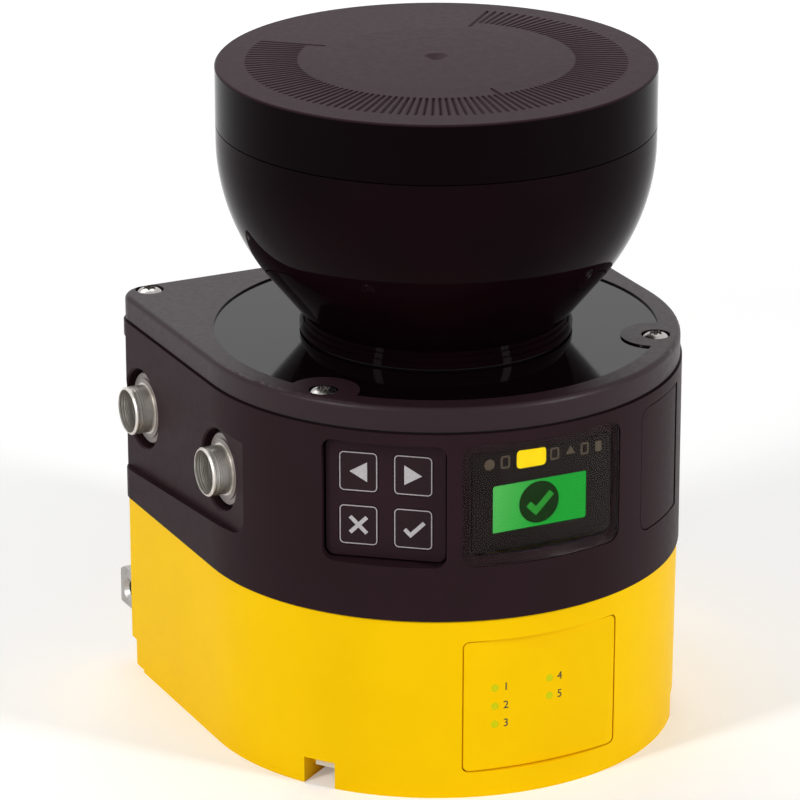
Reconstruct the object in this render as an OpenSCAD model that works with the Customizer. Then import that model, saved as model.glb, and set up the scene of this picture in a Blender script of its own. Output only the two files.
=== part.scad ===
// Safety laser scanner: D-shaped two-part housing, hooded scan head, keypad,
// display, service socket behind a hinged flap, and two turned cable connectors.
// Frame: +Z up, front towards -Y, origin on the base plane under the scan axis.

/* [Housing] */
// Half width of the housing, and radius of its round front
body_r = 56; // [54:0.5:58]
// Distance from the scan axis to the flat back
back_y = 55.5; // [54:0.5:60]
// Radius of the two rear corners
corner_r = 7; // [6:0.5:8]
// Height of the yellow lower housing
lower_h = 42.9; // [42:0.5:46]
// Height of the black upper housing
upper_h = 43.8; // [43.4:0.2:46]
// Wall thickness of both housings
wall = 3; // [2.4:0.2:3.4]
// Thickness of the lower housing's floor
floor_t = 3; // [2:0.5:5]
// How much narrower the lower housing is at its foot
foot_draft = 0.4; // [0.2:0.1:0.8]
// Height of the sealing strip between the housings
strip_h = 1.2; // [0.8:0.2:1.6]

/* [Top plate] */
// Thickness of the top plate
plate_t = 5.6; // [5:0.2:7]
// Height of the seal, seen as a dark joint under the plate
joint_h = 0.5; // [0.4:0.1:1]
// Radius of the plate's upper edge
plate_edge_r = 1.2; // [0.6:0.2:1.6]
// Radius of the shallow dish in the plate
dish_r = 50.5; // [48:0.5:52]
// Depth of the dish
dish_depth = 0.4; // [0.2:0.1:0.8]
// Radius of the raised pad round each front screw
pad_r = 8; // [6:0.5:9]

/* [Scan hood] */
// Radius of the hood's band and lid
hood_r = 49.5; // [48:0.5:51]
// Height of the lid's edge above the base plane
hood_top = 154.8; // [152:0.4:160]
// Height of the band above the seam
band_h = 13.6; // [10:0.4:14]
// Height from the seam down to where the bowl starts to round in
bowl_straight = 3.5; // [2:0.5:5]
// Height of the straight neck under the bowl's cone
neck_h = 4.24; // [3:0.02:6]
// Slope of the bowl's lower cone from the vertical, in degrees
bowl_slope = 39; // [37:0.5:41]
// Wall of the optics cover
cover_wall = 1.8; // [1.4:0.2:2.4]
// Outer radius of the neck under the bowl
neck_r = 30; // [28:0.5:31]
// How far the lid's top bulges at its centre
lid_dome = 1.1; // [0.5:0.1:2]

/* [Lid grooves] */
// Angle between grooves, in degrees
groove_pitch = 2.5; // [2.5:2.5:7.5]
// Number of grooves on each side of the front one
groove_side_count = 55; // [10:1:55]
// Radius at which the grooves end
groove_outer_r = 43; // [40:0.5:45]
// Radius at which the short grooves start
groove_inner_r = 30.7; // [28:0.1:33]
// Radius at which the three long marks start
groove_mark_r = 26.5; // [24:0.5:28]
// Width of a groove at the surface
groove_w = 0.9; // [0.5:0.1:1.1]

/* [Keypad] */
// Land between the keypad's pocket and the display window, along the round face
keypad_land = 2.605; // [2:0.005:4]
// Depth of the keypad's face behind the round face, at its middle
keypad_sink = 3.5; // [3:0.1:4]
// Width of the keypad's pocket
keypad_w = 28; // [27.6:0.2:28.4]
// Height of the keypad's pocket
keypad_h = 28.4; // [28:0.2:29]
// Width of a key
key_w = 8.8; // [8:0.2:9.2]
// Height of a key
key_h = 9.5; // [9:0.1:9.8]
// Spacing of the keys across
key_pitch_x = 12.3; // [12:0.1:12.6]
// Spacing of the keys up and down
key_pitch_z = 12.5; // [12.2:0.1:12.8]
// Travel of a key
key_travel = 0.4; // [0.2:0.1:0.5]
// Gap round the keypad panel in its pocket
panel_gap = 0.6; // [0.3:0.1:0.8]
// Gap between a key and the panel
key_gap = 0.12; // [0.08:0.02:0.2]

/* [Display] */
// Width of the display window
window_w = 38.8; // [38:0.2:40]
// Height of the display window
window_h = 28.4; // [28:0.2:29]
// Thickness of the window
window_t = 1.5; // [1.2:0.1:1.8]
// Width of the lit area of the screen
screen_w = 23.2; // [20:0.2:25]
// Height of the lit area of the screen
screen_h = 11.2; // [10:0.2:12]
// Depth of the screen behind the round face
screen_depth = 5; // [4.8:0.1:5.2]

/* [Service flap] */
// Land between the display window and the flap, along the round face
flap_land = 8.156; // [7.5:0.002:9]
// Width of the flap
flap_w = 20; // [19:0.2:20.4]
// Height of the flap
flap_h = 29; // [28:0.2:29.4]
// Thickness of the flap
flap_t = 2; // [1.6:0.1:2.2]
// Gap round the flap
flap_gap = 0.3; // [0.25:0.05:0.4]
// Depth of the service pocket behind the round face
pocket_depth = 11; // [10:0.5:12]
// Radius of the flap's hinge pin
hinge_pin_r = 0.5; // [0.4:0.1:0.6]

/* [Cable connectors] */
// Depth of the flat recess that holds the connectors
recess_depth = 1.6; // [1.2:0.1:1.8]
// Height of the connector axes above the lower housing
connector_rise = 23.6; // [22:0.2:25]
// Distance of the rear connector behind the front one
connector_pitch = 44; // [42:0.5:44.5]
// Radius of a connector's barrel
barrel_r = 5.6; // [5.5:0.1:6]
// Length of a barrel in front of its flange
barrel_len = 5.2; // [4:0.1:8]
// Radius of a connector's flange
flange_r = 8.4; // [8:0.1:8.7]
// Radius of the socket inside a connector
socket_r = 5.05; // [4.4:0.05:5.1]

/* [Base] */
// Width of the LED panel on the lower housing
led_panel_w = 37.6; // [36:0.4:38.4]
// Height of the LED panel
led_panel_h = 31; // [29:0.5:32]
// Radius of the light points on the panel
led_r = 0.85; // [0.6:0.05:1]
// Width of the notch at the foot
notch_w = 7.8; // [6:0.2:9]
// Height of the notch
notch_h = 6.3; // [5.4:0.1:7]
// Radius of the threaded hole in a mounting lug
lug_hole_r = 2.1; // [1.6:0.1:2.4]
// How far a mounting lug stands behind the back
lug_reach = 4.5; // [3:0.5:6]

/* [Hidden] */
$fn = 96;
eps = 0.01;
fit = 0.05;

// Heights of the stack, from the base plane up
upper_z = lower_h;
joint_z = upper_z + upper_h;
// Radii used by cuts: well inside the round face, and clear outside it
inside_r = body_r - 12;
outside_r = body_r + 14;
plate_z = joint_z + joint_h;
plate_top = plate_z + plate_t;
dish_z = plate_top - dish_depth;
lower_r = body_r - 0.4;
plate_r = body_r - 0.45;
seal_in = 1.1;
lip = 0.4;
degree = PI / 180;
keypad_face = body_r - keypad_sink;
window_a = asin(window_w / 2 / body_r);
keypad_angle = -window_a - keypad_land / body_r / degree - asin(keypad_w / 2 / keypad_face);
flap_angle = window_a + flap_land / body_r / degree + asin(flap_w / 2 / body_r);
screen_face = body_r - screen_depth;
board_face = body_r - 7;
pocket_floor = body_r - pocket_depth;
connector_z = upper_z + connector_rise;

// Window, keypad and flap share one band of the upper housing
panel_z = upper_z + upper_h / 2 + 5;

// Screws that hold the top plate
screw_r = 1.5;
screw_head_r = 2.9;
screw_bore_r = 3.3;
screw_seat = plate_top - 1.6;
screw_len = 8;
front_screw_r = body_r - 5.9;
front_screw_a = 55.8;
rear_screw = [body_r - 7.2, back_y - 4.3];
screw_spots = [for (s = [-1, 1]) [s * front_screw_r * sin(front_screw_a), -front_screw_r * cos(front_screw_a)],
  for (s = [-1, 1]) [s * rear_screw[0], rear_screw[1]]];

// Screws that join the housings from below
base_screw_r = 2;
base_head_r = 3.4;
base_boss_r = 5;
base_seat = 4.6;
base_screw_top = lower_h + 8;
base_spot_r = body_r - wall - base_boss_r + 0.3;
base_spots = [for (s = [-1, 1]) [s * base_spot_r, back_y - 28.5],
  for (s = [-1, 1]) [s * base_spot_r * sin(76), -base_spot_r * cos(76)]];

// Outline of the D, in the XY plane
module half_disc(r) {
  intersection() {
    circle(r);
    translate([-r - 1, -r - 1]) square([2 * r + 2, r + 1]);
  }
}
module d_outline(r, y, c) {
  half_disc(r);
  translate([-r, 0]) square([2 * r, y - c]);
  translate([-r + c, y - c]) square([2 * (r - c), c]);
  for (s = [0, 1]) mirror([s, 0]) translate([r - c, y - c]) intersection() {
    circle(c);
    square(c);
  }
}
// A D-shaped prism, set in from the housing's full outline
module d_prism(inset, z0, z1) {
  translate([0, 0, z0]) linear_extrude(z1 - z0)
    d_outline(body_r - inset, back_y - inset, max(corner_r - inset, 0.5));
}
// Half section of a slab with a rounded upper edge
module edge_profile(w, h, f) {
  square([w - f, h]);
  square([w, h - f]);
  translate([w - f, h - f]) circle(f);
}
// A D-shaped slab whose upper edge is rounded all round
module d_rounded_slab(r, y, c, h, f) {
  rotate([0, 0, 180]) rotate_extrude(angle = 180) edge_profile(r, h, f);
  for (s = [0, 1]) mirror([s, 0, 0]) {
    translate([0, y - c, 0]) rotate([90, 0, 0]) linear_extrude(y - c) edge_profile(r, h, f);
    translate([r - c, y - c, 0]) rotate_extrude(angle = 90) edge_profile(c, h, f);
    translate([0, y - c, 0]) rotate([90, 0, 90]) linear_extrude(r - c) edge_profile(c, h, f);
  }
}
// Rounded rectangle, and a plate of that outline that faces -Y
module rrect(w, h, r) {
  square([w - 2 * r, h], center = true);
  square([w, h - 2 * r], center = true);
  for (x = [-1, 1], y = [-1, 1]) translate([x * (w / 2 - r), y * (h / 2 - r)]) circle(r, $fn = 32);
}
// depth measured from the scan axis: from near to far, outward
module facing(w, h, r, near, far, zc = panel_z) {
  translate([0, -near, zc]) rotate([90, 0, 0]) linear_extrude(far - near) rrect(w, h, r);
}
// Turns a piece drawn for the front round to an angle of the round face
module at_angle(a) { rotate([0, 0, a]) children(); }
// Places a piece, drawn with its mouth towards +Z, so that it faces -X
module facing_left(y) { translate([-body_r, y, connector_z]) rotate([0, -90, 0]) children(); }
module tube(r_out, r_in, z0, z1) {
  translate([0, 0, z0]) difference() {
    cylinder(r = r_out, h = z1 - z0);
    translate([0, 0, -1]) cylinder(r = r_in, h = z1 - z0 + 2);
  }
}

// ---------- lower housing ----------
module taper_body(r0, r1, inset, z0, z1) {
  translate([0, 0, z0]) intersection() {
    union() {
      intersection() {
        cylinder(r1 = r0, r2 = r1, h = z1 - z0);
        translate([-outside_r, -outside_r, -1]) cube([2 * outside_r, outside_r, z1 - z0 + 2]);
      }
      translate([0, back_y + 5, 0]) rotate([90, 0, 0]) linear_extrude(back_y + 5)
        polygon([[-r0, 0], [r0, 0], [r1, z1 - z0], [-r1, z1 - z0]]);
    }
    translate([0, 0, -1]) linear_extrude(z1 - z0 + 2) d_outline(max(r0, r1), back_y - inset, corner_r - inset);
  }
}
module draft_body(inset, z0, z1) { taper_body(lower_r - foot_draft - inset, lower_r - inset, inset, z0, z1); }
led_z = lower_h / 2 + 0.45;
led_spots = [[-11.8, 4], [-11.8, -0.4], [-11.8, -4.75], [1.4, 4.3], [1.4, 0]];
led_floor = lower_r - 2.4;
led_gap = 0.35;
led_corner = 1.2;
// The light panel is flatter than the housing round it, and flush with it at its two sides
panel_curve = 80;
panel_half = led_panel_w / 2;
panel_edge_y = -sqrt(pow(lower_r - 0.2, 2) - panel_half * panel_half);
panel_y = panel_edge_y + sqrt(panel_curve * panel_curve - panel_half * panel_half);
module led_pins(r, near, far) {
  for (p = led_spots) translate([p[0], -near, led_z + p[1]]) rotate([90, 0, 0]) cylinder(r = r, h = far - near, $fn = 32);
}
lug_z = 16.7;
lug_y = back_y - 0.3;
lug_x = body_r - 2;
lug_w = 13;
lug_h = 9.4;
lug_front = back_y - 11;
lug_sink = 3.1;
module lug_block() {
  translate([-lug_x, lug_front, lug_z - lug_h / 2]) cube([lug_w, back_y + lug_reach - lug_front, lug_h]);
}
notch_a = -54.5;
notch_back = body_r - 5;
notch_in = body_r - 15;
module lower_housing() color("#f2c200") difference() {
  union() {
    difference() {
      union() {
        draft_body(0, 0, lower_h - lip);
        taper_body(lower_r, lower_r - lip, 0, lower_h - lip, lower_h);
      }
      d_prism(0.4 + wall, floor_t, lower_h + 1);
    }
    intersection() {
      union() {
        for (p = base_spots) translate([p[0], p[1], 1]) cylinder(r = base_boss_r, h = lower_h - 1);
        for (s = [0, 1]) mirror([s, 0, 0])
          translate([-lug_x + 1, lug_front - 3, lug_z - lug_h / 2 - 3]) cube([lug_w + 2, 14, lug_h + 6]);
        at_angle(notch_a) translate([-notch_w / 2 - 3, -lower_r, 1]) cube([notch_w + 6, lower_r - notch_in + 3, notch_h + 3]);
        for (x = [-1, 1], y = [-board_front + 6, board_back - 8])
          translate([x * (board_x - 7), y, 1]) cylinder(r = 3, h = board_z - 1);
      }
      draft_body(0.2, 0, lower_h);
    }
  }
  difference() {
    d_prism(0.4 + 1, lower_h - strip_h, lower_h + 1);
    d_prism(0.4 + 2.1, lower_h - strip_h - 1, lower_h + 2);
  }
  for (p = base_spots) translate([p[0], p[1], -1]) {
    cylinder(r = base_screw_r + 0.2, h = lower_h + 2);
    cylinder(r = base_head_r + 0.4, h = base_seat + 1);
  }
  difference() {
    facing(led_panel_w + 2 * led_gap, led_panel_h + 2 * led_gap, led_corner + led_gap, inside_r, outside_r, led_z);
    cylinder(r = led_floor, h = lower_h, $fn = 240);
  }
  led_pins(led_r + fit, body_r - 8, outside_r);
  for (s = [0, 1]) mirror([s, 0, 0]) {
    lug_block();
    translate([-outside_r, lug_y, lug_z]) rotate([0, 90, 0]) cylinder(r = lug_sink + 0.2, h = outside_r - lug_x + 0.5, $fn = 48);
  }
  at_angle(notch_a) {
    translate([-notch_w / 2, -outside_r, -1]) cube([notch_w, outside_r - notch_back, notch_h + 1]);
    translate([-notch_w / 2, -outside_r, -1]) cube([notch_w, outside_r - notch_in, notch_h - 2.2]);
  }
  at_angle(64) difference() {
    translate([-10, -outside_r, -1]) cube([20, outside_r - inside_r - 2, 6.5]);
    translate([0, 0, -2]) cylinder(r = lower_r - 1.3, h = 10);
  }
  for (s = [-1, 1]) difference() {
    translate([s * (body_r - 6) - 8, back_y - 11.5, -1]) cube([16, 20, 8]);
    translate([0, 0, -2]) linear_extrude(12) d_outline(lower_r - 1, back_y - 1, corner_r - 1);
  }
}

module housing_seal() color("#2c2c2e") difference() {
  d_prism(0.4 + 1, lower_h - strip_h, lower_h);
  d_prism(0.4 + 2.1, lower_h - strip_h - 1, lower_h + 1);
}

// ---------- upper housing ----------
boss_r = 4.2;
boss_h = joint_z - screw_seat + screw_len + 4;
pocket_r = 2.5;
key_block = body_r - 8.4;
panel_back = keypad_face - 2.2;
window_back = body_r - 0.2 - window_t;
flap_z = panel_z - 0.6;
flap_out = body_r - 0.1;
flap_in = flap_out - flap_t;
hinge_x = flap_w / 2 - 1;
knuckle_r = 1.15;
hinge_y = -sqrt(flap_out * flap_out - hinge_x * hinge_x) + knuckle_r + 0.02;
recess_x = body_r - recess_depth;
conn_y = [0, connector_pitch];
rim_r = flange_r + 1;
rim_floor = recess_x - 3;
conn_block = body_r - 8;
conn_neck_r = 7;

function recess_top(y) = connector_z + 11.5 + 0.0925 * (y + 4.8);
function recess_low(y) = connector_z - 12 - 0.082 * (y + 4.8);
module recess_shape() {
  polygon([[-8.6, recess_low(-8.6)], [64, recess_low(64)], [64, recess_top(64)],
    [-20, recess_top(-20)], [-20, recess_low(-8.6) + 5], [-8.6, recess_low(-8.6) + 5]]);
  translate([-8.6, recess_low(-8.6) + 5]) circle(5, $fn = 64);
}
module upper_cuts() {
  // keypad pocket and the opening behind the panel
  at_angle(keypad_angle) {
    facing(keypad_w, keypad_h, pocket_r, panel_back, outside_r);
    facing(key_pitch_x + key_w + 1.8, key_pitch_z + key_h + 1.8, 1.5, inside_r, panel_back + 1);
  }
  // display pocket with a ledge, and its opening
  difference() {
    facing(window_w, window_h, 3, inside_r, outside_r);
    translate([0, 0, upper_z]) cylinder(r = window_back, h = upper_h);
  }
  facing(window_w - 4, window_h - 4, 2, inside_r, outside_r);
  // flap opening with a ledge, its service pocket and the hinge relief
  at_angle(flap_angle) {
    difference() {
      facing(flap_w + 2 * flap_gap, flap_h + 2 * flap_gap, 3, inside_r, outside_r, flap_z);
      translate([0, 0, upper_z]) cylinder(r = flap_in - 0.2, h = upper_h);
    }
    facing(flap_w - 4.6, flap_h - 5, 2, pocket_floor, outside_r, flap_z);
    translate([hinge_x, hinge_y, flap_z - flap_h / 2 - flap_gap])
      cylinder(r = knuckle_r + 0.6, h = flap_h + 2 * flap_gap, $fn = 48);
    translate([hinge_x, hinge_y, flap_z - flap_h / 2 - 2]) cylinder(r = hinge_pin_r, h = flap_h + 4, $fn = 24);
  }
  // recess for the connectors, on the left
  translate([-recess_x, 0, 0]) rotate([90, 0, -90]) mirror([1, 0, 0]) linear_extrude(12) recess_shape();
  for (y = conn_y) facing_left(y) {
    translate([0, 0, rim_floor - body_r]) cylinder(r = rim_r, h = 10);
    translate([0, 0, -20]) cylinder(r = conn_neck_r + fit, h = 22);
    translate([0, 0, recess_x - body_r - 0.4]) cylinder(r1 = rim_r, r2 = rim_r + 0.8, h = 0.8);
  }
  // screws
  for (p = screw_spots) translate([p[0], p[1], screw_seat - screw_len - 0.5]) cylinder(r = screw_r, h = 30, $fn = 32);
  for (p = base_spots) translate([p[0], p[1], upper_z - 1]) cylinder(r = base_screw_r, h = base_screw_top - upper_z + 1.5, $fn = 32);
}
module upper_housing() color("#2b292b") difference() {
  union() {
    difference() {
      d_prism(0, upper_z, joint_z);
      d_prism(wall, upper_z - 1, joint_z + 1);
    }
    intersection() {
      union() {
        for (p = screw_spots) translate([p[0], p[1], joint_z - boss_h]) cylinder(r = boss_r, h = boss_h, $fn = 48);
        for (p = base_spots) translate([p[0], p[1], upper_z]) cylinder(r = base_boss_r, h = 11, $fn = 48);
        at_angle(keypad_angle) facing(keypad_w + 5, keypad_h + 4, 3, key_block, body_r - 1.5);
        at_angle(flap_angle) facing(flap_w + 1, flap_h + 1, 3, pocket_floor - 1.6, body_r - 1.5, flap_z);
        translate([1.5 - body_r, -13, connector_z - 13]) cube([body_r - 1.5 - conn_block, connector_pitch + 24, 26]);
      }
      d_prism(0.5, upper_z, joint_z);
    }
  }
  upper_cuts();
}

// ---------- top plate ----------
neck_hole_r = neck_r - 3;
module plate_outline_cut(h) { translate([0, 0, dish_z]) cylinder(r = dish_r, h = h); }
module top_plate() color("#262427") difference() {
  union() {
    difference() {
      translate([0, 0, plate_z]) d_rounded_slab(plate_r, back_y - 0.45, corner_r - 0.45, plate_t, plate_edge_r);
      plate_outline_cut(5);
    }
    intersection() {
      for (p = [screw_spots[0], screw_spots[1]]) translate([p[0], p[1], plate_z + 1]) cylinder(r = pad_r, h = plate_t - 1);
      translate([0, 0, plate_z]) cylinder(r = dish_r + 0.5, h = plate_t);
    }
  }
  translate([0, 0, plate_z - 1]) cylinder(r = neck_hole_r, h = plate_t + 2);
  for (p = screw_spots) translate([p[0], p[1], plate_z - 1]) {
    cylinder(r = screw_r + 0.2, h = 20, $fn = 32);
    translate([0, 0, screw_seat - plate_z + 1]) cylinder(r = screw_bore_r, h = 10, $fn = 64);
  }
}
module plate_seal() color("#0f0f10") difference() {
  d_prism(seal_in, joint_z, plate_z);
  d_prism(wall + 0.2, joint_z - 1, plate_z + 1);
  for (p = screw_spots) translate([p[0], p[1], joint_z - 1]) cylinder(r = screw_r + 0.3, h = 3, $fn = 32);
}

// ---------- screws ----------
module star_recess(r, depth) {
  translate([0, 0, -depth]) linear_extrude(depth + 3) {
    circle(r * 0.82, $fn = 32);
    for (a = [0 : 60 : 300]) rotate(a) translate([r * 0.8, 0]) circle(r * 0.26, $fn = 16);
  }
}
// A button-headed screw, seat at z = 0 and pointing down
module button_screw(head_r, head_h, rim_h, shank_r, len, star_r) {
  cap = head_h - rim_h;
  big = (head_r * head_r + cap * cap) / (2 * cap);
  difference() {
    union() {
      rotate_extrude($fn = 48) {
        square([head_r, rim_h]);
        intersection() {
          translate([0, head_h - big]) circle(big, $fn = 96);
          translate([0, rim_h - eps]) square([head_r, cap + 1]);
        }
      }
      translate([0, 0, -len]) cylinder(r = shank_r, h = len + 0.1, $fn = 32);
    }
    translate([0, 0, head_h]) star_recess(star_r, head_h * 0.62);
  }
}
module plate_screws() color("#9b9da0") for (p = screw_spots)
  translate([p[0], p[1], screw_seat]) button_screw(screw_head_r, 2.2, 1.2, screw_r, screw_len, 1.5);
module base_screws() color("#9b9da0") for (p = base_spots) translate([p[0], p[1], base_seat]) rotate([180, 0, 0])
  button_screw(base_head_r, 2.4, 1.4, base_screw_r, base_screw_top - base_seat, 1.7);

// ---------- optics cover and lid ----------
seam_z = hood_top - band_h;
bowl_z = seam_z - bowl_straight;
neck_foot = dish_z + 0.5;
// The bowl's arc takes up the height that the cone leaves between the straight side and the neck
bowl_drop = bowl_z - dish_z - neck_h;
bowl_arc_r = (bowl_drop - (hood_r - neck_r) / tan(bowl_slope))
  / (sin(bowl_slope) - (1 - cos(bowl_slope)) / tan(bowl_slope));
arc_x = hood_r - bowl_arc_r;
// Half section of the bowl, set in by a wall thickness w
module bowl_section(w) {
  ra = bowl_arc_r - w;
  rt = arc_x + ra * cos(bowl_slope);
  zt = bowl_z - ra * sin(bowl_slope);
  rn = neck_r - w;
  zn = zt - (rt - rn) / tan(bowl_slope);
  translate([0, bowl_z]) square([hood_r - w, seam_z - bowl_z + (w > 0 ? 1 : 0)]);
  intersection() {
    translate([arc_x, bowl_z]) circle(ra, $fn = 180);
    translate([0, zt]) square([hood_r, bowl_z - zt]);
  }
  polygon([[0, zn], [rn, zn], [rt, zt], [0, zt]]);
}
module optics_cover() color("#1b1a1c") difference() {
  union() {
    rotate_extrude() bowl_section(0);
    translate([0, 0, neck_foot]) cylinder(r = neck_r + 1, h = 1.3);
    translate([0, 0, neck_foot]) cylinder(r = neck_r + 0.4, h = 2.6);
    translate([0, 0, neck_foot]) cylinder(r = neck_r - 0.2, h = 8);
    translate([0, 0, plate_z + 0.6]) cylinder(r = neck_hole_r - fit, h = 6);
  }
  rotate_extrude() bowl_section(cover_wall);
  translate([0, 0, plate_z - 1]) cylinder(r = neck_hole_r - 2.2, h = 20);
}
module neck_seal() color("#161617") tube(neck_r + 0.3, neck_hole_r + 0.3, dish_z, neck_foot);

lid_low = seam_z + 0.25;
lid_edge = 0.45;
lid_roof = hood_top - 4;
lid_crown_r = groove_mark_r - 2;
// Height of the lid's top at a radius: a shallow crown inside one plain cone
function lid_z(r) = hood_top + lid_dome * (1 - pow(r / (hood_r - lid_edge), 2));
lid_slope = atan((lid_z(lid_crown_r) - hood_top) / (hood_r - lid_edge - lid_crown_r));
groove_half_w = groove_w / 2 + 0.05;
// A groove is cut by a square bar with pointed ends that lies along the cone
module groove_bar(r0, r1) {
  mid = (r0 + r1) / 2;
  long = r1 - r0 - 2 * groove_half_w;
  zm = hood_top + (hood_r - lid_edge - mid) * tan(lid_slope) + 0.05;
  translate([0, -mid, zm]) rotate([90 + lid_slope, 0, 0]) {
    cylinder(r = groove_half_w, h = long, center = true, $fn = 4);
    translate([0, 0, long / 2]) cylinder(r1 = groove_half_w, r2 = 0, h = groove_half_w, $fn = 4);
    translate([0, 0, -long / 2 - groove_half_w]) cylinder(r1 = 0, r2 = groove_half_w, h = groove_half_w, $fn = 4);
  }
}
module hood_lid() color("#2a282b") difference() {
  rotate_extrude() difference() {
    union() {
      polygon(concat([[0, lid_low], [hood_r, lid_low], [hood_r, hood_top - lid_edge], [hood_r - lid_edge, hood_top]],
        [for (k = [3 : -1 : 0]) [lid_crown_r * k / 3, lid_z(lid_crown_r * k / 3)]]));
      translate([0, seam_z - 3.4]) square([hood_r - cover_wall - fit, 4.5]);
    }
    translate([-1, seam_z - 4]) square([hood_r - cover_wall - 1.4, lid_roof - seam_z + 4]);
    polygon([[-1, hood_top + lid_dome - 1], [0, hood_top + lid_dome - 1], [2.8, hood_top + lid_dome], [2.8, hood_top + 5],
      [-1, hood_top + 5]]);
  }
  for (i = [-groove_side_count : groove_side_count]) rotate([0, 0, i * groove_pitch])
    groove_bar(i == 0 || abs(i) == groove_side_count ? groove_mark_r : groove_inner_r, groove_outer_r);
}

// ---------- optics and rotor ----------
tube_low = hood_top - 15.8;
module receiver_tube() color("#3a3a3c") tube(14, 12, tube_low, lid_roof);
module receiver_lens() color("#88a0b8") translate([0, 0, tube_low + 1.5]) cylinder(r = 12, h = 2.6);
module laser_module() color("#5a5c60") translate([0, 0, tube_low + 4.1]) cylinder(r = 5, h = lid_roof - tube_low - 4.1);
stator_top = dish_z + 3.6;
shaft_r = 3;
race_r = 8;
module motor_stator() color("#55575a") difference() {
  union() {
    translate([0, 0, plate_z - 3]) cylinder(r = neck_hole_r + 4, h = 3);
    translate([0, 0, plate_z - 17]) cylinder(r = 20, h = stator_top - plate_z + 17);
  }
  translate([0, 0, plate_z - 18]) cylinder(r = race_r, h = stator_top - plate_z + 20);
}
module motor_bearings() color("#b9bbbe") {
  tube(race_r, shaft_r + fit, plate_z - 16.5, plate_z - 12.5);
  tube(race_r, shaft_r + fit, stator_top - 4.5, stator_top - 0.5);
}
hub_z = stator_top + 1;
mirror_t = 2;
// The mirror takes up the height between the hub and the receiver tube, or the width of the neck
mirror_r = min(neck_hole_r - 11, (tube_low - 4.5 - hub_z - 2.6 - mirror_t * sqrt(2)) / 2);
mirror_z = hub_z + 2.6 + mirror_r;
module rotor_hub() color("#6b6e72") {
  difference() {
    union() {
      translate([0, 0, plate_z - 18]) cylinder(r = shaft_r, h = hub_z - plate_z + 19);
      translate([0, 0, hub_z]) cylinder(r = mirror_r + 4, h = 2.5);
      translate([0, 0, hub_z + 1]) cylinder(r = mirror_r, h = 3 * mirror_r);
    }
    translate([0, 0, mirror_z]) rotate([45, 0, 0]) translate([-60, -60, 0]) cube(120);
  }
}
module scan_mirror() color("#c9ccd0") intersection() {
  translate([0, 0, hub_z]) cylinder(r = mirror_r, h = 3 * mirror_r);
  translate([0, 0, mirror_z]) rotate([45, 0, 0]) translate([-40, -40, 0]) cube([80, 80, mirror_t]);
}
module encoder_disc() color("#7d5a2a") tube(mirror_r + 8, mirror_r + 0.5, hub_z + 2.5, hub_z + 3.3);

// ---------- keypad ----------
board_near = key_block - 1.6;
module keypad_panel() color("#232124") at_angle(keypad_angle) difference() {
  facing(keypad_w - 2 * panel_gap, keypad_h - 2 * panel_gap, pocket_r - panel_gap, panel_back, keypad_face);
  for (x = [-0.5, 0.5], z = [-0.5, 0.5]) translate([x * key_pitch_x, 0, z * key_pitch_z])
    facing(key_w + 2 * key_gap, key_h + 2 * key_gap, 1.6, panel_back - 1, keypad_face + 1);
}
module keypad_board() color("#1f5a3a") at_angle(keypad_angle) facing(keypad_w - 7.4, keypad_h - 2, 1, board_near, key_block);
module key_piece(x, z) at_angle(keypad_angle) translate([x * key_pitch_x, 0, z * key_pitch_z]) {
  facing(key_w, key_h, 1.5, panel_back - 0.5, keypad_face);
  facing(key_w + 1, key_h + 1, 1.5, panel_back - 1, panel_back - 0.1);
  translate([0, -key_block - key_travel - 0.05, panel_z]) rotate([90, 0, 0])
    cylinder(r = 1.6, h = panel_back - 0.5 - key_block - key_travel - 0.05, $fn = 32);
}
module key_left() color("#2b292c") key_piece(-0.5, 0.5);
module key_right() color("#2b292c") key_piece(0.5, 0.5);
module key_cancel() color("#2b292c") key_piece(-0.5, -0.5);
module key_ok() color("#2b292c") key_piece(0.5, -0.5);

// ---------- display ----------
screen_z = panel_z - 2.4;
mask_front = screen_face + 0.5;
module display_window() color("#3a4046") difference() {
  intersection() {
    facing(window_w - 0.3, window_h - 0.3, 2.9, inside_r, outside_r);
    tube(body_r - 0.2, window_back, upper_z, joint_z);
  }
  difference() {
    facing(window_w - 4, window_h - 4, 2, inside_r, outside_r);
    translate([0, 0, upper_z]) cylinder(r = body_r - 0.2 - window_t * 0.3, h = upper_h);
  }
}
module display_mask() color("#0f0f11") difference() {
  facing(window_w - 4.4, window_h - 4.4, 1.8, board_face, mask_front);
  facing(screen_w, screen_h, 0.6, inside_r, outside_r, screen_z);
  facing(screen_w + 1.6, screen_h + 1.6, 0.6, inside_r, screen_face, screen_z);
  translate([-2.2, 0, 0]) facing(7.2, 4.3, 1, inside_r, outside_r, panel_z + 8.5);
}
module display_screen() color("#59c83c") facing(screen_w + 1.4, screen_h + 1.4, 0.5, board_face, screen_face, screen_z);
module status_lights() color("#ffcf20") translate([-2.2, 0, 0]) facing(7.1, 4.2, 0.95, board_face, mask_front + 0.05, panel_z + 8.5);
module display_board() color("#1f5a3a") facing(window_w - 7, window_h - 2, 1, board_face - 1.6, board_face);

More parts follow.
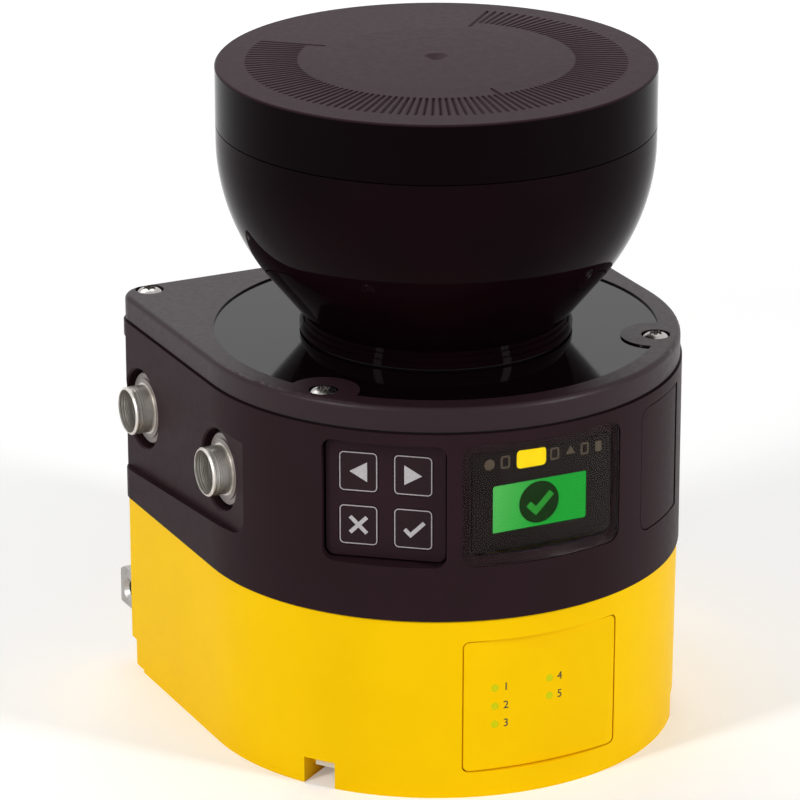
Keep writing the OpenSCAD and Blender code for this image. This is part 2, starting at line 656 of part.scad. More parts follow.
// ---------- service flap ----------
module service_flap() color("#29272a") at_angle(flap_angle) {
  difference() {
    union() {
      intersection() {
        facing(flap_w, flap_h, 2.7, inside_r, outside_r, flap_z);
        difference() {
          tube(flap_out, flap_in, upper_z, joint_z);
          translate([hinge_x, -outside_r, upper_z - 1]) cube([20, outside_r, upper_h + 2]);
        }
      }
      translate([hinge_x, hinge_y, flap_z - flap_h / 2]) cylinder(r = knuckle_r, h = flap_h, $fn = 48);
    }
    translate([hinge_x, hinge_y, flap_z - flap_h / 2 - 1]) cylinder(r = hinge_pin_r + 0.06, h = flap_h + 2, $fn = 24);
  }
}
module flap_pin() color("#a8aaad") at_angle(flap_angle)
  translate([hinge_x, hinge_y, flap_z - flap_h / 2 - 2]) cylinder(r = hinge_pin_r, h = flap_h + 4, $fn = 24);
module usb_socket() color("#b4b7ba") at_angle(flap_angle) difference() {
  facing(9.6, 5, 0.8, pocket_floor, pocket_floor + 5.2, flap_z);
  facing(8.4, 3.8, 0.5, pocket_floor + 1, pocket_floor + 8, flap_z);
}

// ---------- cable connectors ----------
seal_t = 0.4;
// Section of a turned connector: distance out from the housing's side is up
module connector_shape() {
  d = rim_floor - body_r;
  f = d + seal_t + 1.1;
  m = f + barrel_len;
  difference() {
    rotate_extrude($fn = 72) polygon([[0, -conn_block_d - 5], [conn_neck_r, -conn_block_d - 5],
      [conn_neck_r, d + seal_t], [flange_r - 0.25, d + seal_t], [flange_r, d + seal_t + 0.25],
      [flange_r, f - 0.25], [flange_r - 0.25, f], [conn_neck_r, f], [conn_neck_r, f + 0.35],
      [barrel_r, f + 0.6], [barrel_r, m - 0.35], [barrel_r - 0.35, m], [0, m]]);
    translate([0, 0, -conn_block_d - 6]) cylinder(r = socket_r, h = 40, $fn = 72);
  }
}
conn_block_d = body_r - conn_block;
conn_mouth = rim_floor - body_r + seal_t + 1.1 + barrel_len;
insert_top = conn_mouth - 6;
module front_connector() color("#b5b2a8") facing_left(conn_y[0]) connector_shape();
module rear_connector() color("#b5b2a8") facing_left(conn_y[1]) connector_shape();
module connector_inserts() color("#151517") for (y = conn_y) facing_left(y) {
  translate([0, 0, -conn_block_d - 5]) cylinder(r = socket_r, h = insert_top + conn_block_d + 5, $fn = 72);
  for (a = [0 : 90 : 270]) rotate([0, 0, a + 45]) translate([2.4, 0, insert_top - 0.5])
    cylinder(r = 0.5, h = 1.2, $fn = 24);
}
module connector_seals() color("#1a1a1b") for (y = conn_y) facing_left(y)
  tube(flange_r - 0.4, conn_neck_r + fit, rim_floor - body_r, rim_floor - body_r + seal_t);
module connector_nuts() color("#a9abae") for (y = conn_y) facing_left(y) difference() {
  translate([0, 0, -conn_block_d - 3.5]) cylinder(r = 9.6, h = 3.5, $fn = 6);
  translate([0, 0, -conn_block_d - 5]) cylinder(r = conn_neck_r, h = 7, $fn = 72);
}

// ---------- base panel and small parts ----------
module led_panel() color("#f2c200") difference() {
  intersection() {
    facing(led_panel_w, led_panel_h, led_corner, inside_r, outside_r, led_z);
    draft_body(0.1, 0, lower_h);
    translate([0, panel_y, 0]) cylinder(r = panel_curve, h = lower_h, $fn = 240);
  }
  translate([0, 0, -1]) cylinder(r = led_floor, h = lower_h + 2, $fn = 240);
  led_pins(led_r + fit, body_r - 8, outside_r);
}
module led_lights() color("#8a8d90") intersection() {
  led_pins(led_r, board_face, outside_r);
  translate([0, panel_y, 0]) cylinder(r = panel_curve + 0.05, h = lower_h, $fn = 240);
}
module led_board() color("#1f5a3a") facing(led_panel_w - 7.6, led_panel_h - 9, 1, board_face - 1.6, board_face, led_z);
module mounting_lugs() color("#b7b8ba") for (s = [0, 1]) mirror([s, 0, 0]) difference() {
  lug_block();
  translate([-lug_x - 1, lug_y, lug_z]) rotate([0, 90, 0]) cylinder(r = lug_hole_r, h = lug_w + 2, $fn = 48);
  translate([-lug_x, lug_y, lug_z]) rotate([0, 90, 0]) translate([0, 0, -1])
    cylinder(r1 = lug_sink + 1, r2 = lug_hole_r, h = lug_sink - lug_hole_r + 1, $fn = 48);
  for (z = [-1, 1]) translate([-lug_x, back_y + lug_reach, lug_z + z * lug_h / 2]) rotate([0, 90, 0])
    cylinder(r = 0.8, h = 3 * lug_w, center = true, $fn = 4);
  for (z = [-1, 1]) translate([-lug_x, lug_front - 1, lug_z + z * lug_h / 2]) rotate([-90, 0, 0])
    cylinder(r = 0.5, h = 30, $fn = 4);
}
module vent_plug() color("#e6e4dd") at_angle(notch_a)
  translate([-2.4, -notch_back - 1.4, notch_h - 2.6]) cube([4.8, 1.4, 1.8]);
board_z = 12;
board_x = body_r - 19;
board_front = body_r - 26;
board_back = back_y - 17.5;
module main_board() color("#1f5a3a") translate([-board_x, -board_front, board_z])
  cube([2 * board_x, board_front + board_back, 1.6]);

lower_housing();
housing_seal();
upper_housing();
plate_seal();
top_plate();
plate_screws();
base_screws();
optics_cover();
neck_seal();
hood_lid();
receiver_tube();
receiver_lens();
laser_module();
motor_stator();
motor_bearings();
rotor_hub();
scan_mirror();
encoder_disc();
keypad_panel();
keypad_board();
key_left();
key_right();
key_cancel();
key_ok();
display_window();
display_mask();
display_screen();
display_board();
status_lights();
service_flap();
flap_pin();
usb_socket();
front_connector();
rear_connector();
connector_inserts();
connector_seals();
connector_nuts();
led_panel();
led_lights();
led_board();
mounting_lugs();
vent_plug();
main_board();
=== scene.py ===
"""Safety laser scanner: finishes, printed signs, screen picture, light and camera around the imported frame."""
import math

import bpy
from mathutils import Matrix, Vector


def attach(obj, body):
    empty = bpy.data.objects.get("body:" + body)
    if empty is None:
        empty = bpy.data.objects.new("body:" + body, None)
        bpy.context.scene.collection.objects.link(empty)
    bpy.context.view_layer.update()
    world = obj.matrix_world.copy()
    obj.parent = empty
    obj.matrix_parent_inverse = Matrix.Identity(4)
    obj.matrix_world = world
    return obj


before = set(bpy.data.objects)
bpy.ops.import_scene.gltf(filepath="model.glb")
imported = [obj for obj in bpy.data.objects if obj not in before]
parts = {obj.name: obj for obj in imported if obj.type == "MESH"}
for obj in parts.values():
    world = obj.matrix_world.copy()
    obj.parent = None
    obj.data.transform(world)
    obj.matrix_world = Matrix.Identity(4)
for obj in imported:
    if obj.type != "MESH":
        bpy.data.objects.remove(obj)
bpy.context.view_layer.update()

MM = 0.001

# Sizes of the housing that the printed signs line up with, in millimetres
PLATE_TOP = 92.8
DISH_R = 50.5
BARREL_R = 5.6
LID_TOP = 154.8
KEYPAD_TURN = math.radians(-38.4)
KEYPAD_FACE = 52.5
KEY_X, KEY_Z, KEY_MID_Z = 6.15, 6.25, 69.8
SCREEN_FACE, MASK_FACE, SCREEN_MID_Z = 51.0, 51.5, 67.4
# The light panel is a flatter curve than the housing, with its centre this far behind the scan axis
PANEL_CURVE, PANEL_BACK = 80.0, 25.65
# Where each light of the panel is, across and up, by the number printed beside it
LIGHTS = {"1": (-11.8, 25.9), "2": (-11.8, 21.5), "3": (-11.8, 17.15), "4": (1.4, 26.2), "5": (1.4, 21.9)}


# ---------- materials ----------
def linear(code):
    """A hex colour as Blender's linear red, green, blue and alpha."""
    values = [int(code[i:i + 2], 16) / 255 for i in (1, 3, 5)]
    return [v / 12.92 if v <= 0.04045 else ((v + 0.055) / 1.055) ** 2.4 for v in values] + [1.0]


def add(tree, kind, links=None, **settings):
    """Adds one node to a tree, with its settings, values and links."""
    made = tree.nodes.new("ShaderNode" + kind)
    for name, value in settings.items():
        setattr(made, name, value)
    for socket, value in (links or {}).items():
        if isinstance(value, bpy.types.NodeSocket):
            tree.links.new(value, made.inputs[socket])
        else:
            made.inputs[socket].default_value = value
    return made


def start(name):
    """An empty material with its tree and its object coordinates in millimetres."""
    material = bpy.data.materials.new(name)
    material.use_nodes = True
    tree = material.node_tree
    tree.nodes.clear()
    place = add(tree, "TexCoord").outputs["Object"]
    scaled = add(tree, "VectorMath", {0: place, 1: (1000, 1000, 1000)}, operation="MULTIPLY")
    return material, tree, scaled.outputs[0]


def close(material, tree, shader_links):
    """Ends a tree with the main shader and the output."""
    shader = add(tree, "BsdfPrincipled", shader_links)
    add(tree, "OutputMaterial", {"Surface": shader.outputs[0]})
    return material


def grain(tree, place, size, low, high, detail=2.0):
    """Noise of one grain size in millimetres, between two values."""
    noise = add(tree, "TexNoise", {"Vector": place, "Scale": 1.0 / size, "Detail": detail, "Roughness": 0.55})
    return add(tree, "MapRange", {"Value": noise.outputs["Fac"], "From Min": 0.3, "From Max": 0.7,
                                  "To Min": low, "To Max": high}).outputs[0]


def blend_of(tree, amount, first, second):
    """A colour between two hex colours or sockets."""
    pair = [linear(c) if isinstance(c, str) else c for c in (first, second)]
    return add(tree, "Mix", {0: amount, 6: pair[0], 7: pair[1]}, data_type="RGBA").outputs[2]


def moulded(name, light, dark, rough, texture=0.35, depth=0.012, level=0.2):
    """Moulded plastic: a fine eroded texture weakens the gloss, over faint flow clouds in the colour."""
    material, tree, place = start(name)
    clouds = grain(tree, place, 17.0, 0.0, 1.0)
    gloss = grain(tree, place, 2.2, rough - 0.03, rough + 0.03)
    height = grain(tree, place, texture, 0.0, 1.0, 3.0)
    bump = add(tree, "Bump", {"Height": height, "Strength": 0.35, "Distance": depth * MM})
    return close(material, tree, {"Base Color": blend_of(tree, clouds, light, dark), "Roughness": gloss,
                                  "Normal": bump.outputs[0], "IOR": 1.5, "Specular IOR Level": level})


def rubber(name, colour):
    """Nitrile seal: dull, slightly dusty black."""
    material, tree, place = start(name)
    dust = grain(tree, place, 1.2, 0.0, 1.0)
    return close(material, tree, {"Base Color": blend_of(tree, dust, colour, "#1c1b1b"),
                                  "Roughness": grain(tree, place, 0.6, 0.66, 0.82),
                                  "Specular IOR Level": 0.25})


def turned(name, light, dark, axis_y=0.0, axis_z=0.0, rough=0.32):
    """Turned nickel-plated metal: tool lines run round the axis, so they vary along it and with the radius."""
    material, tree, place = start(name)
    centred = add(tree, "VectorMath", {0: place, 1: (0, axis_y, axis_z)}, operation="SUBTRACT").outputs[0]
    split = add(tree, "SeparateXYZ", {0: centred})
    flat = add(tree, "CombineXYZ", {0: split.outputs[1], 1: split.outputs[2]})
    radius = add(tree, "VectorMath", {0: flat.outputs[0]}, operation="LENGTH").outputs["Value"]
    lines = add(tree, "CombineXYZ", {0: split.outputs[0], 1: radius}).outputs[0]
    # Real tool lines are about 0.1 mm apart; they are drawn at 0.3 mm so that they show and spread the light
    cut = grain(tree, lines, 0.3, 0.0, 1.0, 3.0)
    bump = add(tree, "Bump", {"Height": cut, "Strength": 1.0, "Distance": 0.056 * MM})
    stain = grain(tree, place, 3.0, 0.0, 1.0)
    # The flange round the barrel is dull; the barrel itself is bright
    dull = add(tree, "MapRange", {"Value": radius, "From Min": BARREL_R + 0.2,
                                  "From Max": BARREL_R + 0.6}).outputs[0]
    bright = blend_of(tree, stain, light, dark)
    fine = grain(tree, lines, 0.45, rough - 0.06, rough + 0.1)
    rough_of = add(tree, "Mix", {0: dull, 2: fine, 3: 0.42}, data_type="FLOAT")
    return close(material, tree, {"Base Color": blend_of(tree, dull, bright, "#8b8380"), "Metallic": 1.0,
                                  "Roughness": rough_of.outputs[0], "Normal": bump.outputs[0]})


def machined(name, light, dark, rough, stretch=(1.0, 1.0, 0.08)):
    """Machined or ground metal: short scratches along one direction."""
    material, tree, place = start(name)
    drawn = add(tree, "VectorMath", {0: place, 1: stretch}, operation="MULTIPLY").outputs[0]
    marks = grain(tree, drawn, 0.25, 0.0, 1.0, 3.0)
    bump = add(tree, "Bump", {"Height": marks, "Strength": 0.3, "Distance": 0.015 * MM})
    stain = grain(tree, place, 4.0, 0.0, 1.0)
    return close(material, tree, {"Base Color": blend_of(tree, stain, light, dark), "Metallic": 1.0,
                                  "Roughness": grain(tree, drawn, 0.4, rough - 0.06, rough + 0.08),
                                  "Normal": bump.outputs[0]})


def polished_smoke(name):
    """Infrared-clear polycarbonate, coated against glare: polished black, warm in depth, slightly wavy."""
    material, tree, place = start(name)
    wave = grain(tree, place, 26.0, 0.0, 1.0, 1.0)
    bump = add(tree, "Bump", {"Height": wave, "Strength": 0.12, "Distance": 0.2 * MM})
    return close(material, tree, {"Base Color": blend_of(tree, wave, "#14070b", "#0d0407"),
                                  "Roughness": grain(tree, place, 9.0, 0.03, 0.06), "Normal": bump.outputs[0],
                                  "IOR": 1.585, "Specular IOR Level": 0.018})


def lid_plastic(name):
    """Lid of filled polycarbonate: the top is finely textured satin, the band round it is polished; the top is
    also coloured lighter, as a painted sheen of the light from above.
    """
    material, tree, place = start(name)
    height = add(tree, "SeparateXYZ", {0: place}).outputs[2]
    top = add(tree, "MapRange", {"Value": height, "From Min": LID_TOP - 0.5, "From Max": LID_TOP - 0.1,
                                 "To Min": 0.0, "To Max": 1.0}).outputs[0]
    satin = grain(tree, place, 1.6, 0.36, 0.42)
    band = grain(tree, place, 6.0, 0.07, 0.1)
    gloss = add(tree, "Mix", {0: top, 2: band, 3: satin}, data_type="FLOAT").outputs[0]
    skin = grain(tree, place, 0.35, 0.0, 1.0, 3.0)
    lift = add(tree, "Math", {0: skin, 1: top}, operation="MULTIPLY").outputs[0]
    bump = add(tree, "Bump", {"Height": lift, "Strength": 0.4, "Distance": 0.012 * MM})
    # Painted sheen: the satin top is coloured lighter than the polished band, standing in for the light it
    # catches from above
    return close(material, tree, {"Base Color": blend_of(tree, top, "#090204", "#33242a"), "Roughness": gloss,
                                  "Normal": bump.outputs[0], "IOR": 1.58, "Specular IOR Level": 0.02})


def plate_paint(name):
    """Painted die-cast plate: satin rim, and a smoother dish inside it, coloured darker as painted shade and
    dark reflection under the hood.
    """
    material, tree, place = start(name)
    split = add(tree, "SeparateXYZ", {0: place})
    flat = add(tree, "CombineXYZ", {0: split.outputs[0], 1: split.outputs[1]})
    radius = add(tree, "VectorMath", {0: flat.outputs[0]}, operation="LENGTH").outputs["Value"]
    inside = add(tree, "Math", {0: radius, 1: DISH_R + 0.05}, operation="LESS_THAN").outputs[0]
    low = add(tree, "Math", {0: split.outputs[2], 1: PLATE_TOP - 0.2}, operation="LESS_THAN").outputs[0]
    dish = add(tree, "Math", {0: inside, 1: low}, operation="MULTIPLY").outputs[0]
    satin = grain(tree, place, 1.4, 0.36, 0.44)
    smooth = grain(tree, place, 5.0, 0.05, 0.08)
    gloss = add(tree, "Mix", {0: dish, 2: satin, 3: smooth}, data_type="FLOAT").outputs[0]
    skin = grain(tree, place, 0.4, 0.0, 1.0, 3.0)
    rim = add(tree, "Math", {0: 1.0, 1: dish}, operation="SUBTRACT").outputs[0]
    lift = add(tree, "Math", {0: skin, 1: rim}, operation="MULTIPLY").outputs[0]
    bump = add(tree, "Bump", {"Height": lift, "Strength": 0.4, "Distance": 0.014 * MM})
    # Painted shade: the dish under the hood is coloured darker than the rim, standing in for its shade and the
    # dark hood it mirrors
    return close(material, tree, {"Base Color": blend_of(tree, dish, "#27181d", "#0c0508"), "Roughness": gloss,
                                  "Normal": bump.outputs[0], "Specular IOR Level": 0.18})


def clear(name, tint, rough=0.02, ior=1.49):
    """Clear moulded acrylic or glass with a faint haze; a coat against glare shows as a lower index."""
    material, tree, place = start(name)
    haze = grain(tree, place, 8.0, rough, rough + 0.02)
    tone = blend_of(tree, grain(tree, place, 11.0, 0.0, 1.0), tint, tint)
    return close(material, tree, {"Base Color": tone, "Roughness": haze, "IOR": ior,
                                  "Transmission Weight": 1.0})


def glowing(name, light, dark, strength, size=1.5, rough=0.35, body="#0b0b06"):
    """A lit lens or screen: its glow varies a little over the surface, over a tinted plastic."""
    material, tree, place = start(name)
    tone = blend_of(tree, grain(tree, place, size, 0.0, 1.0), light, dark)
    return close(material, tree, {"Base Color": blend_of(tree, 0.9, tone, body), "Emission Color": tone,
                                  "Emission Strength": strength, "Specular IOR Level": 0.05,
                                  "Roughness": grain(tree, place, 0.8, rough - 0.04, rough + 0.04)})


def screen_glow(name):
    """Backlit display: the light is paler at the left and top, and richer towards the right."""
    material, tree, place = start(name)
    split = add(tree, "SeparateXYZ", {0: place})
    across = add(tree, "MapRange", {"Value": split.outputs[0], "From Min": -11.6, "From Max": 3.0,
                                    "To Min": 0.0, "To Max": 1.0}).outputs[0]
    rows = add(tree, "MapRange", {"Value": split.outputs[2], "From Min": 61.8, "From Max": 73.0,
                                  "To Min": 0.25, "To Max": 0.0}).outputs[0]
    amount = add(tree, "Math", {0: across, 1: rows}, operation="ADD", use_clamp=True).outputs[0]
    tone = blend_of(tree, amount, "#52b658", "#129c2c")
    dots = grain(tree, place, 0.4, 0.0, 0.12)
    tone = add(tree, "Mix", {0: dots, 6: tone, 7: linear("#0f7a2a")}, data_type="RGBA").outputs[2]
    return close(material, tree, {"Base Color": blend_of(tree, dots, "#04120a", "#061a0c"), "Roughness": 0.4,
                                  "Specular IOR Level": 0.05, "Emission Color": tone,
                                  "Emission Strength": 1.3})


def ink(name, light, dark, rough=0.5):
    """Screen-printed ink with slightly uneven cover."""
    material, tree, place = start(name)
    cover = grain(tree, place, 0.5, 0.0, 1.0)
    return close(material, tree, {"Base Color": blend_of(tree, cover, light, dark),
                                  "Roughness": grain(tree, place, 0.9, rough - 0.05, rough + 0.05)})


def circuit_board(name):
    """Glass-fibre board under green solder resist, with a faint weave 0.5 mm across."""
    material, tree, place = start(name)
    weave = add(tree, "TexChecker", {"Vector": place, "Scale": 2.0}).outputs["Fac"]
    cloud = grain(tree, place, 4.0, 0.0, 0.3)
    amount = add(tree, "Math", {0: weave, 1: cloud}, operation="MULTIPLY").outputs[0]
    return close(material, tree, {"Base Color": blend_of(tree, amount, "#1b5c38", "#2a7a4c"),
                                  "Roughness": 0.35})


def mirror_coat(name):
    """Front-silvered mirror."""
    material, tree, place = start(name)
    silver = blend_of(tree, grain(tree, place, 6.0, 0.0, 1.0), "#e4e6e8", "#dadde0")
    return close(material, tree, {"Base Color": silver, "Metallic": 1.0,
                                  "Roughness": grain(tree, place, 4.0, 0.01, 0.03)})


yellow = moulded("moulded_yellow_abs", "#fbca00", "#f8c600", 0.42, 0.4, 0.012, 0.04)
black_body = moulded("moulded_black_abs", "#291a1f", "#26181c", 0.4, 0.35, 0.014, 0.04)
black_panel = moulded("textured_black_foil", "#2b1c21", "#28191e", 0.46, 0.25, 0.012, 0.05)
black_key = moulded("textured_key_foil", "#2a1c20", "#271a1e", 0.44, 0.25, 0.012, 0.07)
black_mask = moulded("matt_black_mask", "#1d1514", "#191211", 0.5, 2.0, 0.002, 0.1)
seal_black = rubber("nitrile_seal", "#0c0b0b")
steel_screw = machined("stainless_screw", "#b9b7b4", "#9f9c99", 0.24, (1.0, 1.0, 1.0))
front_nickel = turned("turned_nickel_front", "#dad5cf", "#c5c0b8", 0.0, 66.5)
rear_nickel = turned("turned_nickel_rear", "#dad5cf", "#c5c0b8", 44.0, 66.5)
lug_steel = machined("milled_steel_lug", "#b4b1ad", "#9c9894", 0.3)
motor_metal = machined("machined_aluminium", "#b5b7ba", "#a2a5a9", 0.34)
race_steel = machined("bearing_steel", "#cacbcc", "#b9babc", 0.16, (1.0, 1.0, 1.0))
code_disc = machined("etched_code_disc", "#8a7a58", "#6f6145", 0.3, (1.0, 1.0, 1.0))
plug_plastic = moulded("natural_nylon_plug", "#e4e0d8", "#d8d3c9", 0.5)
insert_plastic = moulded("black_nylon_insert", "#131112", "#0e0c0d", 0.5)
lens_dim = glowing("lit_green_lens", "#d6cc08", "#c4c810", 0.9, 0.8)
amber = glowing("lit_amber_lens", "#ffe208", "#fcd904", 1.2, 3.0)
board = circuit_board("circuit_board")
print_grey = ink("light_grey_ink", "#a9a2a5", "#979094")
print_sign = ink("pale_grey_ink", "#b9b4b6", "#aaa5a8")
print_black = ink("black_ink", "#1d1a12", "#262213")
unlit = ink("unlit_symbol", "#5e523c", "#4b412f", 0.4)
disc_green = glowing("dark_green_pixels", "#083a04", "#063203", 0.7, 0.5)
tick_green = glowing("bright_green_pixels", "#2a9c30", "#22922a", 1.0, 0.5)

FINISH = {
    "lower_housing": yellow, "led_panel": yellow, "upper_housing": black_body, "service_flap": black_body,
    "keypad_panel": black_panel, "key_left": black_key, "key_right": black_key, "key_cancel": black_key,
    "key_ok": black_key, "display_mask": black_mask, "housing_seal": seal_black, "plate_seal": seal_black,
    "neck_seal": seal_black, "connector_seals": seal_black,
    "plate_screws": steel_screw, "base_screws": steel_screw,
    "flap_pin": steel_screw, "front_connector": front_nickel, "rear_connector": rear_nickel,
    "connector_nuts": front_nickel, "usb_socket": steel_screw, "mounting_lugs": lug_steel,
    "motor_stator": motor_metal, "receiver_tube": motor_metal, "laser_module": motor_metal,
    "rotor_hub": motor_metal,
    "motor_bearings": race_steel, "encoder_disc": code_disc, "vent_plug": plug_plastic,
    "connector_inserts": insert_plastic, "led_lights": lens_dim, "status_lights": amber, "led_board": board,
    "main_board": board, "keypad_board": board, "display_board": board,
    "optics_cover": polished_smoke("smoked_polycarbonate"), "hood_lid": lid_plastic("filled_polycarbonate_lid"),
    "top_plate": plate_paint("painted_die_cast_plate"),
    "display_window": clear("coated_acrylic_window", "#e8e4e2", 0.0, 1.12),
    "receiver_lens": clear("coated_lens_glass", "#dfe6ee", 0.01, 1.52),
    "scan_mirror": mirror_coat("silvered_mirror"),
    "display_screen": screen_glow("backlit_display"),
}
for name, piece in parts.items():
    piece.data.materials.clear()
    piece.data.materials.append(FINISH[name])


# ---------- printed signs and lit pictures ----------
def settle(piece, name, material, place, body):
    """Names a finished piece, puts its place into its mesh and lets it ride."""
    bpy.ops.object.mode_set(mode="OBJECT")
    bpy.ops.object.select_all(action="DESELECT")
    piece.select_set(True)
    bpy.context.view_layer.objects.active = piece
    piece.matrix_world = place @ piece.matrix_world
    bpy.ops.object.transform_apply(location=True, rotation=True, scale=True)
    piece.name = name
    piece.data.name = name
    piece.data.materials.clear()
    piece.data.materials.append(material)
    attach(piece, body)
    return piece


def thicken(piece, thickness):
    """Gives a flat shape its thickness, with the face towards the front."""
    bpy.ops.object.mode_set(mode="OBJECT")
    skin = piece.modifiers.new("thickness", "SOLIDIFY")
    skin.thickness = thickness * MM
    skin.offset = 0.0
    bpy.ops.object.modifier_apply(modifier=skin.name)
    bpy.ops.object.mode_set(mode="EDIT")
    bpy.ops.mesh.select_all(action="SELECT")
    bpy.ops.mesh.normals_make_consistent(inside=False)
    bpy.ops.object.mode_set(mode="OBJECT")


def flat_start(width, height):
    """A plane of this size in the upright plane that faces the front, in edit mode."""
    bpy.ops.object.select_all(action="DESELECT")
    bpy.ops.mesh.primitive_plane_add(size=1.0, rotation=(math.pi / 2, 0, 0))
    piece = bpy.context.object
    piece.scale = (width * MM, height * MM, 1)
    bpy.ops.object.transform_apply(location=True, rotation=True, scale=True)
    bpy.ops.object.mode_set(mode="EDIT")
    return piece


def round_corners(radius, segments=6):
    bpy.ops.mesh.select_mode(type="VERT")
    bpy.ops.mesh.select_all(action="SELECT")
    bpy.ops.mesh.bevel(offset=radius * MM, segments=segments, affect="VERTICES")


def rounded_frame(width, height, radius, line, thickness):
    """A thin frame with rounded corners: a plane, its corners bevelled, inset, and its middle taken out."""
    piece = flat_start(width, height)
    round_corners(radius)
    bpy.ops.mesh.select_all(action="SELECT")
    bpy.ops.mesh.inset(thickness=line * MM)
    bpy.ops.mesh.delete(type="FACE")
    thicken(piece, thickness)
    return piece


def rounded_tile(width, height, radius, thickness):
    piece = flat_start(width, height)
    round_corners(radius)
    thicken(piece, thickness)
    return piece


def disc(radius, thickness, sides=64):
    bpy.ops.object.select_all(action="DESELECT")
    bpy.ops.mesh.primitive_circle_add(vertices=sides, radius=radius * MM, fill_type="NGON",
                                      rotation=(math.pi / 2, 0, 0))
    piece = bpy.context.object
    bpy.ops.object.transform_apply(location=True, rotation=True, scale=True)
    thicken(piece, thickness)
    return piece


def arrow(size, direction, thickness):
    """A triangle that points left or right, as tall as it says and a little less wide."""
    piece = disc(size / math.sqrt(3), thickness, 3)
    far = max(v.co.z for v in piece.data.vertices)
    low = min(v.co.z for v in piece.data.vertices)
    bpy.ops.object.select_all(action="DESELECT")
    piece.select_set(True)
    piece.matrix_world = Matrix.Rotation(math.radians(90 if direction < 0 else -90), 4, "Y").inverted() \
        @ Matrix.Translation((0, 0, -(far + low) / 2))
    bpy.ops.object.transform_apply(location=True, rotation=True, scale=True)
    return piece


def stroke(arms, line, thickness):
    """Strokes that leave one small square: each arm (dx, dz, length) is drawn out of that side's edge."""
    piece = flat_start(line, line)
    bpy.ops.mesh.select_mode(type="EDGE")
    for dx, dz, length in arms:
        bpy.ops.mesh.select_all(action="DESELECT")
        bpy.ops.object.mode_set(mode="OBJECT")
        reach = line * MM / 2
        for edge in piece.data.edges:
            mid = sum((piece.data.vertices[i].co for i in edge.vertices), Vector()) / 2
            edge.select = abs(mid.x - dx * reach) < 1e-6 and abs(mid.z - dz * reach) < 1e-6
        bpy.ops.object.mode_set(mode="EDIT")
        step = (dx * length * MM, 0, dz * length * MM)
        bpy.ops.mesh.extrude_region_move(TRANSFORM_OT_translate={"value": step})
    thicken(piece, thickness)
    return piece


def in_front(face, x, z, lift):
    """A place just in front of a flat face, given across and up in millimetres."""
    return Matrix.Translation((x * MM, -(face + lift) * MM, z * MM))


def on_keypad(x, z, lift=0.03):
    return Matrix.Rotation(KEYPAD_TURN, 4, "Z") @ in_front(KEYPAD_FACE, x, z, lift)


# A cross and a tick are drawn upright and then turned by an eighth
EIGHTH = Matrix.Rotation(math.radians(45), 4, "Y")
# Thickness of the printed signs on the keys, and the width of their strokes
SIGN, STROKE = 0.06, 0.9
KEYS = {"left": (-1, 1), "right": (1, 1), "cancel": (-1, -1), "ok": (1, -1)}
for word, (side, level) in KEYS.items():
    spot = on_keypad(side * KEY_X, KEY_MID_Z + level * KEY_Z)
    body = word + "_key"
    settle(rounded_frame(8.5, 9.1, 1.0, 0.24, SIGN), word + "_key_frame", print_grey, spot, body)
    if word in ("left", "right"):
        settle(arrow(4.6, side, SIGN), word + "_key_arrow", print_sign, spot, body)
    elif word == "cancel":
        cross = stroke([(1, 0, 2.2), (-1, 0, 2.2), (0, 1, 2.2), (0, -1, 2.2)], STROKE, SIGN)
        settle(cross, "cancel_key_cross", print_sign, spot @ EIGHTH, body)
    else:
        tick = stroke([(-1, 0, 1.4), (0, 1, 3.9)], STROKE, SIGN)
        settle(tick, "ok_key_tick", print_sign, spot @ in_front(0.0, -0.6, -1.5, 0.0) @ EIGHTH, body)


# The picture on the screen: a dark disc with a bright tick, each as thin as this
PICTURE = 0.05
settle(disc(4.9, PICTURE, 72), "screen_disc", disc_green, in_front(SCREEN_FACE, 0.0, SCREEN_MID_Z, 0.04),
       "housing")
screen_tick = stroke([(-1, 0, 1.9), (0, 1, 4.7)], 1.5, PICTURE)
settle(screen_tick, "screen_tick", tick_green, in_front(SCREEN_FACE, -0.75, SCREEN_MID_Z - 2.0, 0.09) @ EIGHTH,
       "housing")

# Unlit signs beside the lit block: two plain shapes to the left and four to the right, by their place across
SIGN_Z = 78.3
UNLIT = {
    "unlit_dot_1": (-12.5, lambda: disc(1.25, PICTURE, 40)),
    "unlit_frame_1": (-8.6, lambda: rounded_frame(2.3, 3.0, 0.6, 0.45, PICTURE)),
    "unlit_frame_2": (3.5, lambda: rounded_frame(2.2, 2.8, 0.5, 0.4, PICTURE)),
    "unlit_wedge": (7.4, lambda: disc(1.3, PICTURE, 3)),
    "unlit_frame_3": (10.9, lambda: rounded_frame(2.0, 2.8, 0.5, 0.4, PICTURE)),
    "unlit_tile": (14.3, lambda: rounded_tile(1.5, 2.4, 0.4, PICTURE)),
}
for name, (x, shape) in UNLIT.items():
    settle(shape(), name, unlit, in_front(MASK_FACE, x, SIGN_Z, 0.03), "housing")


def numeral(digit, height):
    """A printed numeral as a thin mesh that faces the front."""
    bpy.ops.object.select_all(action="DESELECT")
    bpy.ops.object.text_add(rotation=(math.pi / 2, 0, 0))
    made = bpy.context.object
    made.data.body = digit
    made.data.size = height * 1.4 * MM
    made.data.extrude = 0.02 * MM
    made.data.align_x, made.data.align_y = "CENTER", "CENTER"
    bpy.ops.object.convert(target="MESH")
    bpy.ops.object.mode_set(mode="EDIT")
    bpy.ops.mesh.select_all(action="SELECT")
    bpy.ops.mesh.remove_doubles(threshold=0.002 * MM)
    bpy.ops.object.mode_set(mode="OBJECT")
    return made


def on_panel(x, z, lift=0.02):
    """A place on the yellow panel's curved face, above a point given straight across it."""
    centre = Matrix.Translation((0, PANEL_BACK * MM, z * MM))
    turn = Matrix.Rotation(math.asin(x / PANEL_CURVE), 4, "Z")
    return centre @ turn @ in_front(PANEL_CURVE, 0.0, 0.0, lift)


for digit, (x, z) in LIGHTS.items():
    settle(numeral(digit, 1.9), "panel_number_" + digit, print_black, on_panel(x + 2.6, z), "housing")


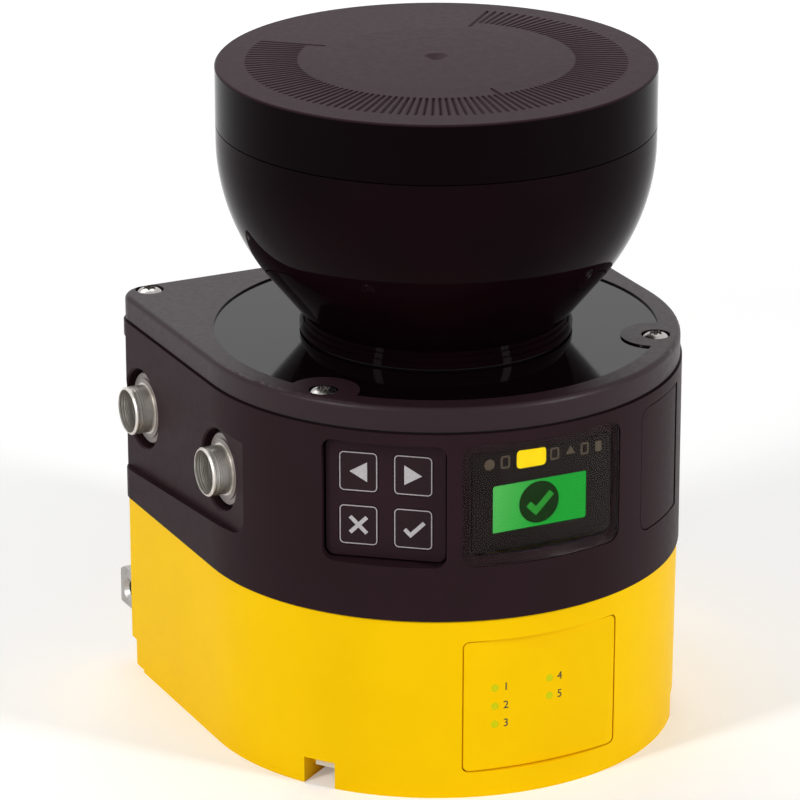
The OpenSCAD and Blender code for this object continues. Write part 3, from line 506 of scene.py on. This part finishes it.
# ---------- floor, light and camera ----------
def background_rays(tree):
    """1 for the rays that see the white background: the camera's, and those from metal, gloss and glass."""
    ray = add(tree, "LightPath")
    mirrored = add(tree, "Math", {0: ray.outputs["Is Glossy Ray"], 1: ray.outputs["Is Transmission Ray"]},
                   operation="MAXIMUM")
    return add(tree, "Math", {0: ray.outputs["Is Camera Ray"], 1: mirrored.outputs[0]}, operation="MAXIMUM")


bpy.ops.object.select_all(action="DESELECT")
bpy.ops.mesh.primitive_plane_add(size=12.0)
floor = bpy.context.object
floor.name = "studio_floor"
paper, tree, place = start("white_paper_floor")
shade = blend_of(tree, grain(tree, place, 400.0, 0.0, 1.0), "#f0f0f0", "#eeeeee")
sheet = add(tree, "BsdfPrincipled", {"Base Color": shade, "Roughness": 0.9, "Specular IOR Level": 0.1})
# Far from the object the lamps fade, and the paper's own white takes over from them
away = add(tree, "VectorMath", {0: place}, operation="LENGTH").outputs["Value"]
own_white = add(tree, "MapRange", {"Value": away, "From Min": 300.0, "From Max": 2000.0,
                                   "To Min": 0.22, "To Max": 0.78})
lift = add(tree, "Math", {0: background_rays(tree).outputs[0], 1: own_white.outputs[0]}, operation="MULTIPLY")
white = add(tree, "Emission", {"Color": (1, 1, 1, 1), "Strength": lift.outputs[0]})
both = add(tree, "AddShader", {0: sheet.outputs[0], 1: white.outputs[0]})
add(tree, "OutputMaterial", {"Surface": both.outputs[0]})
floor.data.materials.append(paper)

world = bpy.data.worlds.new("studio")
bpy.context.scene.world = world
world.use_nodes = True
tree = world.node_tree
tree.nodes.clear()
seen = background_rays(tree)
level = add(tree, "MapRange", {"Value": seen.outputs[0], "To Min": 0.3, "To Max": 1.0})
sky = add(tree, "Background", {"Color": (1, 1, 1, 1), "Strength": level.outputs[0]})
add(tree, "OutputWorld", {"Surface": sky.outputs[0]})


def softbox(name, place, aim, width, height, power):
    """A rectangular lamp at a place, aimed at a point, in metres and watts."""
    lamp = bpy.data.lights.new(name, "AREA")
    lamp.shape = "RECTANGLE"
    lamp.size, lamp.size_y, lamp.energy = width, height, power
    made = bpy.data.objects.new(name, lamp)
    bpy.context.scene.collection.objects.link(made)
    made.location = place
    made.rotation_euler = (Vector(aim) - Vector(place)).to_track_quat("-Z", "Y").to_euler()
    return made


MIDDLE = (0, 0, 0.08)
softbox("key_left", (-1.0, -0.25, 0.6), MIDDLE, 0.14, 0.7, 6.6)
softbox("fill_front_right", (0.6, -0.85, 0.5), MIDDLE, 0.14, 0.6, 6.6)
softbox("top_rear", (0.1, 0.75, 1.0), MIDDLE, 0.9, 0.5, 5.0)

eye = bpy.data.cameras.new("view")
eye.lens = 213.89
eye.sensor_width = 36.0
camera = bpy.data.objects.new("view", eye)
bpy.context.scene.collection.objects.link(camera)
camera.location = (-0.453756, -0.913786, 0.448341)
camera.rotation_euler = (math.radians(90 - 20.13), math.radians(0.06), math.radians(-25.97))
eye.clip_start, eye.clip_end = 0.05, 50.0
bpy.context.scene.camera = camera
bpy.context.scene.view_settings.view_transform = "Standard"
